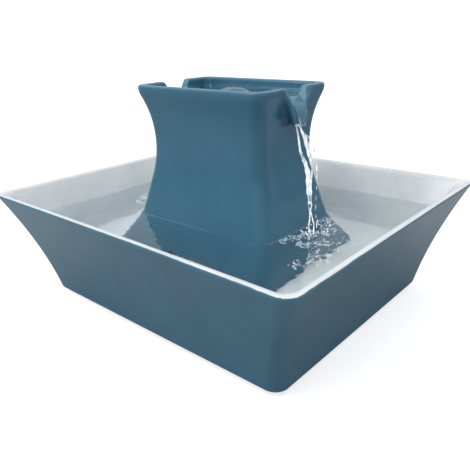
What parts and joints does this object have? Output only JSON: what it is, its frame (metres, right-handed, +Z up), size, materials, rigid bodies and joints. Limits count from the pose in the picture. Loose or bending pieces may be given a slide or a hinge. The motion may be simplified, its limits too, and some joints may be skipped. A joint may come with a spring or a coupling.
{
  "type": "pet water fountain",
  "caption": "Flared four-sided ceramic bowl with a waisted hollow tower; a submersible pump inside lifts water to a dish that spills over a spout at each end.",
  "frame": {"origin": "middle of the plane that the base pads stand on", "axes": "+X along the longer side of the bowl and through both spouts, -Y the wide front face, +Z up"},
  "size_m": [0.2802, 0.2408, 0.1603],
  "materials": {
    "bowl_glaze": "glossy glaze, blue outside and white inside",
    "tower_glaze": "glossy blue glaze",
    "pad_rubber": "soft black rubber",
    "grey_silicone": "grey silicone",
    "clear_silicone": "milky silicone",
    "housing_plastic": "fine matt moulding",
    "filter_foam": "open-cell foam",
    "frame_plastic": "white moulding",
    "filter_cloth": "white non-woven cloth",
    "charcoal_granules": "loose black granules",
    "pump_plastic": "black moulding",
    "black_rubber": "soft black rubber",
    "core_steel": "stacked steel sheets",
    "bobbin_plastic": "natural moulding",
    "copper_winding": "enamelled copper wire",
    "knob_plastic": "grey moulding",
    "impeller_plastic": "white moulding",
    "magnet_ferrite": "sintered ferrite",
    "shaft_ceramic": "polished ceramic",
    "tube_plastic": "translucent moulding"
  },
  "bodies": {
    "bowl": {"bowl": "bowl_glaze", "base_pads": "pad_rubber", "cord_plug": "grey_silicone"},
    "tower": {"tower": "tower_glaze", "riser_seal": "clear_silicone"},
    "pump_unit": {"filter_housing": "housing_plastic", "housing_cover": "housing_plastic", "housing_feet": "pad_rubber", "pump_case": "pump_plastic", "cable_gland": "black_rubber", "stator_core": "core_steel", "coil_bobbin": "bobbin_plastic", "coil_winding": "copper_winding", "volute": "pump_plastic", "intake_grille": "pump_plastic", "impeller_shaft": "shaft_ceramic", "riser_tube": "tube_plastic"},
    "rotor": {"impeller": "impeller_plastic", "rotor_magnet": "magnet_ferrite"},
    "flow_knob": {"flow_knob": "knob_plastic"},
    "foam": {"foam_filter": "filter_foam"},
    "cartridge": {"cartridge_frame": "frame_plastic", "filter_cloth": "filter_cloth", "charcoal": "charcoal_granules"}
  },
  "joints": [
    {"name": "tower_lift", "type": "slide", "parent": "bowl", "child": "tower", "axis": [0, 0, 1], "range_m": [0, 0.2]},
    {"name": "pump_unit_lift", "type": "slide", "parent": "bowl", "child": "pump_unit", "axis": [0, 0, 1], "range_m": [0, 0.08]},
    {"name": "cartridge_lift", "type": "slide", "parent": "pump_unit", "child": "cartridge", "axis": [0, 0, 1], "range_m": [0, 0.06]},
    {"name": "foam_lift", "type": "slide", "parent": "pump_unit", "child": "foam", "axis": [0, 0, 1], "range_m": [0, 0.05]},
    {"name": "rotor_spin", "type": "hinge", "parent": "pump_unit", "child": "rotor", "pos_m": [0, 0, 0.04], "axis": [1, 0, 0], "continuous": true},
    {"name": "flow_knob_turn", "type": "hinge", "parent": "pump_unit", "child": "flow_knob", "pos_m": [0.0185, 0, 0.04], "axis": [1, 0, 0], "range_deg": [0, 90]}
  ],
  "couplings": [
    {"joint": "pump_unit_lift", "follows": "tower_lift", "ratio": 0.4},
    {"joint": "cartridge_lift", "follows": "tower_lift", "ratio": 0.3},
    {"joint": "foam_lift", "follows": "tower_lift", "ratio": 0.25}
  ]
}
